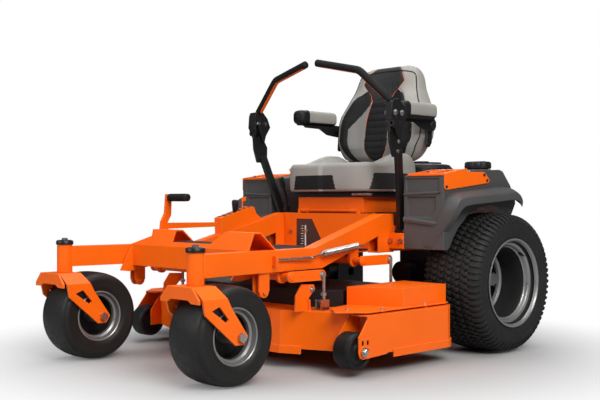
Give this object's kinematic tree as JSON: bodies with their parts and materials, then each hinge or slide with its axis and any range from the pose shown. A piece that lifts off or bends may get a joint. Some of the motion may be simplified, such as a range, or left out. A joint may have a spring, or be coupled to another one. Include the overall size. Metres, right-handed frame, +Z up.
{
  "type": "zero turn mower",
  "caption": "Ride-on zero turn lawn mower with caster front wheels, mid-mounted cutting deck, twin lap bar controls, suspended seat and rear engine.",
  "frame": {"origin": "bottom centre of the whole machine's box, on the ground; the machine's own centre line lies 78.5 mm to the +X side of it because the discharge chute stands out on the -X side", "axes": "+Y to the rear, so the casters and the operator face -Y; +Z up; +X to the operator's left"},
  "size_m": [1.553, 1.954, 1.19],
  "materials": {
    "orange_paint": "gloss powder coat with a fine orange-peel surface",
    "black_metal": "satin black powder coat",
    "wheel_grey": "silver grey wheel enamel",
    "grey_plastic": "moulded charcoal plastic with a light grain",
    "black_plastic": "moulded black plastic",
    "yellow_plastic": "moulded yellow plastic",
    "tyre_rubber": "vulcanised tyre rubber",
    "roller_rubber": "solid moulded rubber",
    "belt_rubber": "fabric-covered drive belt rubber",
    "mat_rubber": "ribbed non-slip rubber",
    "seat_vinyl": "padded vinyl with a fine leather grain",
    "arm_vinyl": "padded black vinyl",
    "bare_steel": "zinc-plated steel",
    "dark_steel": "oil-blackened steel",
    "cast_alloy": "as-cast aluminium"
  },
  "bodies": {
    "chassis": {"frame_rail_left": "orange_paint", "frame_rail_right": "orange_paint", "nose_crossmember": "orange_paint", "floor_pan": "orange_paint", "foot_mat": "mat_rubber", "rear_frame": "orange_paint", "seat_panel": "orange_paint", "rear_guard": "orange_paint", "engine_block": "cast_alloy", "engine_shroud": "black_plastic", "muffler": "dark_steel", "transaxles": "black_metal", "height_console": "orange_paint", "fender_left": "grey_plastic", "fender_right": "grey_plastic", "fender_trims": "orange_paint", "assist_springs": "bare_steel", "chassis_bolts": "bare_steel"},
    "caster_left": {"caster_fork_left": "orange_paint", "caster_hardware_left": "bare_steel"},
    "caster_right": {"caster_fork_right": "orange_paint", "caster_hardware_right": "bare_steel"},
    "caster_wheel_left": {"caster_tyre_left": "tyre_rubber", "caster_rim_left": "wheel_grey"},
    "caster_wheel_right": {"caster_tyre_right": "tyre_rubber", "caster_rim_right": "wheel_grey"},
    "drive_wheel_left": {"drive_tyre_left": "tyre_rubber", "drive_rim_left": "wheel_grey"},
    "drive_wheel_right": {"drive_tyre_right": "tyre_rubber", "drive_rim_right": "wheel_grey"},
    "deck": {"deck_shell": "orange_paint", "belt_covers": "orange_paint", "centre_cover": "black_metal", "deck_links": "bare_steel", "spindle_housings": "cast_alloy", "deck_belt": "belt_rubber"},
    "cutter_left": {"blade_left": "dark_steel"},
    "cutter_centre": {"blade_centre": "dark_steel"},
    "cutter_right": {"blade_right": "dark_steel"},
    "scalp_roller_left": {"anti_scalp_wheel_left": "roller_rubber"},
    "scalp_roller_right": {"anti_scalp_wheel_right": "roller_rubber"},
    "chute": {"discharge_chute": "black_plastic"},
    "lift_front": {"lift_shaft_front": "orange_paint"},
    "lift_rear": {"lift_shaft_rear": "orange_paint"},
    "foot_roller": {"pedal_roller": "black_plastic"},
    "seat_base": {"seat_platform": "orange_paint"},
    "seat": {"seat_pan": "black_metal", "seat_cushion": "seat_vinyl", "seat_back": "seat_vinyl"},
    "arm_left": {"armrest_left": "arm_vinyl"},
    "arm_right": {"armrest_right": "arm_vinyl"},
    "control_left": {"control_post_left": "black_metal"},
    "control_right": {"control_post_right": "black_metal"},
    "lap_left": {"lap_bar_left": "black_metal"},
    "lap_right": {"lap_bar_right": "black_metal"},
    "cap_left": {"fuel_cap_left": "black_plastic"},
    "cap_right": {"fuel_cap_right": "black_plastic"},
    "pto": {"pto_switch": "yellow_plastic"},
    "park_brake": {"park_brake_lever": "black_metal"},
    "height_selector": {"height_pin": "black_plastic"}
  },
  "joints": [
    {"name": "caster_swivel_left", "type": "hinge", "parent": "chassis", "child": "caster_left", "pos_m": [0.4715, -0.911, 0.385], "axis": [0, 0, 1], "continuous": true},
    {"name": "caster_spin_left", "type": "hinge", "parent": "caster_left", "child": "caster_wheel_left", "pos_m": [0.4715, -0.804, 0.165], "axis": [1, 0, 0], "continuous": true},
    {"name": "drive_spin_left", "type": "hinge", "parent": "chassis", "child": "drive_wheel_left", "pos_m": [0.6425, 0.457, 0.277], "axis": [1, 0, 0], "continuous": true},
    {"name": "caster_swivel_right", "type": "hinge", "parent": "chassis", "child": "caster_right", "pos_m": [-0.3145, -0.911, 0.385], "axis": [0, 0, 1], "continuous": true},
    {"name": "caster_spin_right", "type": "hinge", "parent": "caster_right", "child": "caster_wheel_right", "pos_m": [-0.3145, -0.804, 0.165], "axis": [1, 0, 0], "continuous": true},
    {"name": "drive_spin_right", "type": "hinge", "parent": "chassis", "child": "drive_wheel_right", "pos_m": [-0.4855, 0.457, 0.277], "axis": [1, 0, 0], "continuous": true},
    {"name": "deck_lift", "type": "slide", "parent": "chassis", "child": "deck", "axis": [0, 0, 1], "range_m": [0, 0.065]},
    {"name": "lift_shaft_front_turn", "type": "hinge", "parent": "chassis", "child": "lift_front", "pos_m": [0.0785, -0.491, 0.335], "axis": [1, 0, 0], "range_deg": [0, 25]},
    {"name": "lift_shaft_rear_turn", "type": "hinge", "parent": "chassis", "child": "lift_rear", "pos_m": [0.0785, -0.066, 0.371], "axis": [1, 0, 0], "range_deg": [0, 25]},
    {"name": "pedal_roller_spin", "type": "hinge", "parent": "lift_front", "child": "foot_roller", "pos_m": [-0.1495, -0.504, 0.614], "axis": [1, 0, 0], "continuous": true},
    {"name": "blade_spin_centre", "type": "hinge", "parent": "deck", "child": "cutter_centre", "pos_m": [0.0785, -0.224, 0.15], "axis": [0, 0, 1], "continuous": true},
    {"name": "blade_spin_left", "type": "hinge", "parent": "deck", "child": "cutter_left", "pos_m": [0.4885, -0.084, 0.15], "axis": [0, 0, 1], "continuous": true},
    {"name": "blade_spin_right", "type": "hinge", "parent": "deck", "child": "cutter_right", "pos_m": [-0.3315, -0.084, 0.15], "axis": [0, 0, 1], "continuous": true},
    {"name": "anti_scalp_spin_left", "type": "hinge", "parent": "deck", "child": "scalp_roller_left", "pos_m": [0.6685, -0.387, 0.09], "axis": [1, 0, 0], "continuous": true},
    {"name": "anti_scalp_spin_right", "type": "hinge", "parent": "deck", "child": "scalp_roller_right", "pos_m": [-0.5115, -0.387, 0.09], "axis": [1, 0, 0], "continuous": true},
    {"name": "chute_lift", "type": "hinge", "parent": "deck", "child": "chute", "pos_m": [-0.5705, -0.0915, 0.207], "axis": [0, 1, 0], "range_deg": [0, 80]},
    {"name": "seat_tilt", "type": "hinge", "parent": "chassis", "child": "seat_base", "pos_m": [0.0785, 0.119, 0.561], "axis": [1, 0, 0], "range_deg": [0, 18]},
    {"name": "seat_slide", "type": "slide", "parent": "seat_base", "child": "seat", "axis": [0, 1, 0], "range_m": [-0.03, 0.03]},
    {"name": "armrest_lift_left", "type": "hinge", "parent": "seat", "child": "arm_left", "pos_m": [0.3535, 0.474, 0.925], "axis": [-1, 0, 0], "range_deg": [0, 95]},
    {"name": "control_drive_left", "type": "hinge", "parent": "chassis", "child": "control_left", "pos_m": [0.4085, 0.196, 0.475], "axis": [1, 0, 0], "range_deg": [-10, 14], "stiffness_Nm_per_rad": 260},
    {"name": "lap_bar_open_left", "type": "hinge", "parent": "control_left", "child": "lap_left", "pos_m": [0.4835, 0.068, 0.903], "axis": [0, 1, 0], "range_deg": [0, 45]},
    {"name": "fuel_cap_turn_left", "type": "hinge", "parent": "chassis", "child": "cap_left", "pos_m": [0.5585, 0.512, 0.75], "axis": [0, 0, 1], "continuous": true},
    {"name": "armrest_lift_right", "type": "hinge", "parent": "seat", "child": "arm_right", "pos_m": [-0.1965, 0.474, 0.925], "axis": [-1, 0, 0], "range_deg": [0, 95]},
    {"name": "control_drive_right", "type": "hinge", "parent": "chassis", "child": "control_right", "pos_m": [-0.2515, 0.196, 0.475], "axis": [1, 0, 0], "range_deg": [-10, 14], "stiffness_Nm_per_rad": 260},
    {"name": "lap_bar_open_right", "type": "hinge", "parent": "control_right", "child": "lap_right", "pos_m": [-0.3265, 0.068, 0.903], "axis": [0, -1, 0], "range_deg": [0, 45]},
    {"name": "fuel_cap_turn_right", "type": "hinge", "parent": "chassis", "child": "cap_right", "pos_m": [-0.4015, 0.512, 0.75], "axis": [0, 0, 1], "continuous": true},
    {"name": "park_brake_pull", "type": "hinge", "parent": "chassis", "child": "park_brake", "pos_m": [-0.2115, 0.154, 0.565], "axis": [-1, 0, 0], "range_deg": [0, 30]},
    {"name": "pto_pull", "type": "slide", "parent": "chassis", "child": "pto", "axis": [0, 0, 1], "range_m": [0, 0.008]},
    {"name": "height_pin_pull", "type": "slide", "parent": "chassis", "child": "height_selector", "axis": [0, 0, 1], "range_m": [0, 0.06]}
  ],
  "couplings": [
    {"joint": "lift_shaft_front_turn", "follows": "deck_lift", "rad_per_m": 6.5359},
    {"joint": "lift_shaft_rear_turn", "follows": "deck_lift", "rad_per_m": 6.5359},
    {"joint": "blade_spin_left", "follows": "blade_spin_centre", "ratio": 1},
    {"joint": "blade_spin_right", "follows": "blade_spin_centre", "ratio": 1}
  ]
}
